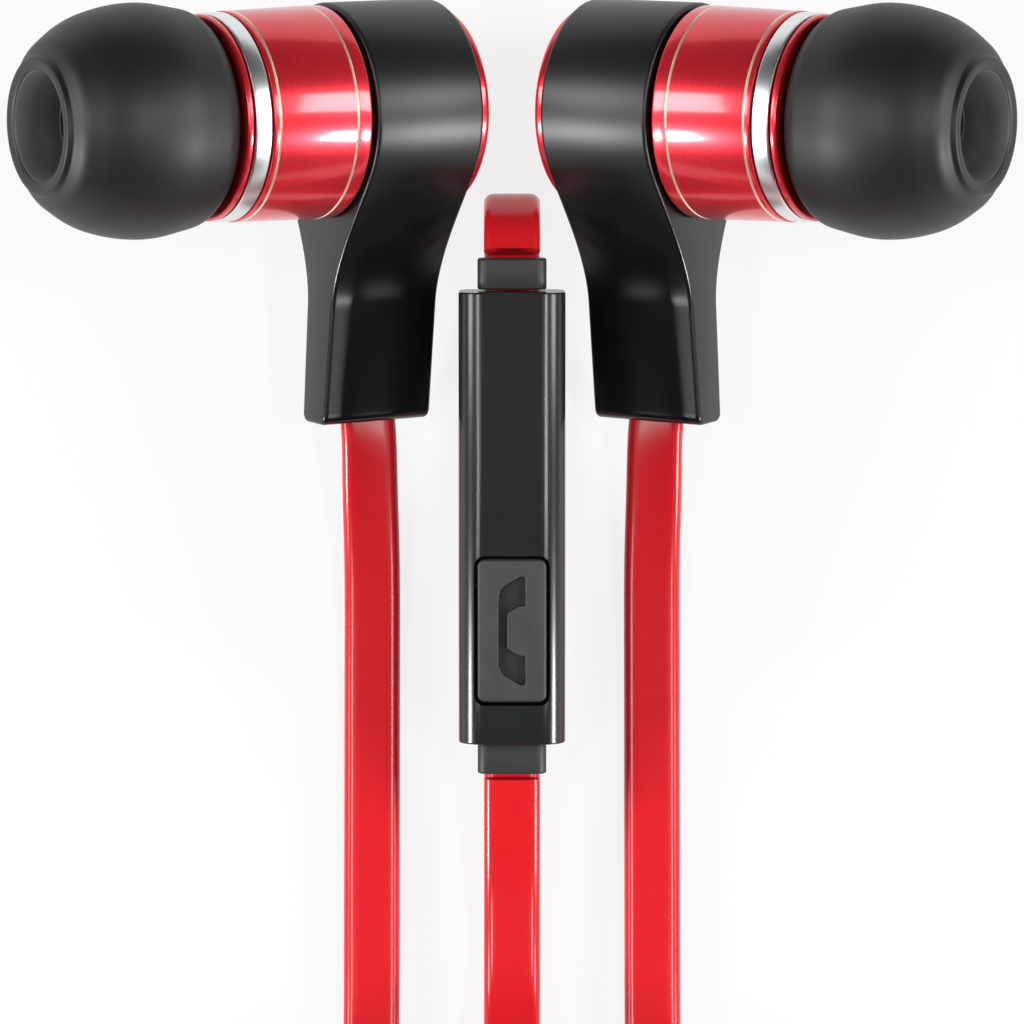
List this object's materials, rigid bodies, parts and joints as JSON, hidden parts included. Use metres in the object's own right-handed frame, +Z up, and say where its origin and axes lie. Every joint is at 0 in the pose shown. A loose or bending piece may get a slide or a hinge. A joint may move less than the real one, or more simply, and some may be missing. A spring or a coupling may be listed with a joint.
{
  "type": "wired earphones",
  "caption": "Wired in-ear earphones with angled buds, flat cable, in-line one-button remote, splitter, wound leads and a straight 3.5 mm plug.",
  "frame": {"origin": "bottom centre of the box round the two buds, on the table", "axes": "+X from the left bud to the right bud, +Y from the stems' ends to the barrels, +Z up from the table"},
  "size_m": [0.0684, 0.141, 0.0202],
  "materials": {
    "red_cable": "smooth elastomer",
    "anodised_red": "anodised red",
    "silver_band": "bright",
    "gloss_black_housing": "satin gloss",
    "silicone_tip": "matte silicone",
    "steel": "brushed",
    "diaphragm": "thin film",
    "black_rubber": "matte",
    "satin_black": "satin",
    "button_grey": "satin",
    "switch_grey": "matte",
    "green_board": "satin",
    "gold_contact": "polished gold plate"
  },
  "bodies": {
    "root": {"left_lead_run": "red_cable", "left_lead_coil": "red_cable", "left_lead_tail": "red_cable", "right_lead_run": "red_cable", "right_lead_coil": "red_cable", "right_lead_tail": "red_cable", "link_lead": "red_cable", "main_lead_run": "red_cable", "main_lead_coil": "red_cable", "plug_tail": "red_cable", "left_rear_cap": "anodised_red", "left_barrel": "anodised_red", "left_front_housing": "anodised_red", "right_rear_cap": "anodised_red", "right_barrel": "anodised_red", "right_front_housing": "anodised_red", "left_silver_band": "silver_band", "right_silver_band": "silver_band", "left_stem_housing": "gloss_black_housing", "right_stem_housing": "gloss_black_housing", "left_driver_frame": "steel", "left_driver_magnet": "steel", "left_nozzle_mesh": "steel", "right_driver_frame": "steel", "right_driver_magnet": "steel", "right_nozzle_mesh": "steel", "microphone_capsule": "steel", "left_driver_diaphragm": "diaphragm", "right_driver_diaphragm": "diaphragm", "left_cable_grommet": "black_rubber", "right_cable_grommet": "black_rubber", "upper_boot": "black_rubber", "lower_boot": "black_rubber", "plug_strain_relief": "black_rubber", "remote_shell": "satin_black", "remote_back_cover": "satin_black", "splitter_base": "satin_black", "splitter_top": "satin_black", "plug_grip": "satin_black", "plug_insulator": "satin_black", "button_switch": "switch_grey", "remote_board": "green_board", "plug_tip": "gold_contact", "plug_ring_front": "gold_contact", "plug_ring_rear": "gold_contact", "plug_sleeve": "gold_contact"},
    "call_button": {"call_button": "button_grey"},
    "left_ear_tip": {"left_ear_tip": "silicone_tip"},
    "right_ear_tip": {"right_ear_tip": "silicone_tip"}
  },
  "joints": [
    {"name": "button_press", "type": "slide", "parent": "root", "child": "call_button", "axis": [0, 0.1685, -0.9857], "range_m": [0, 0.0003], "stiffness_N_per_m": 3000},
    {"name": "left_ear_tip_pull", "type": "slide", "parent": "root", "child": "left_ear_tip", "axis": [-0.8572, -0.1246, 0.4997], "range_m": [0, 0.011]},
    {"name": "right_ear_tip_pull", "type": "slide", "parent": "root", "child": "right_ear_tip", "axis": [0.8572, -0.1246, 0.4997], "range_m": [0, 0.011]}
  ]
}
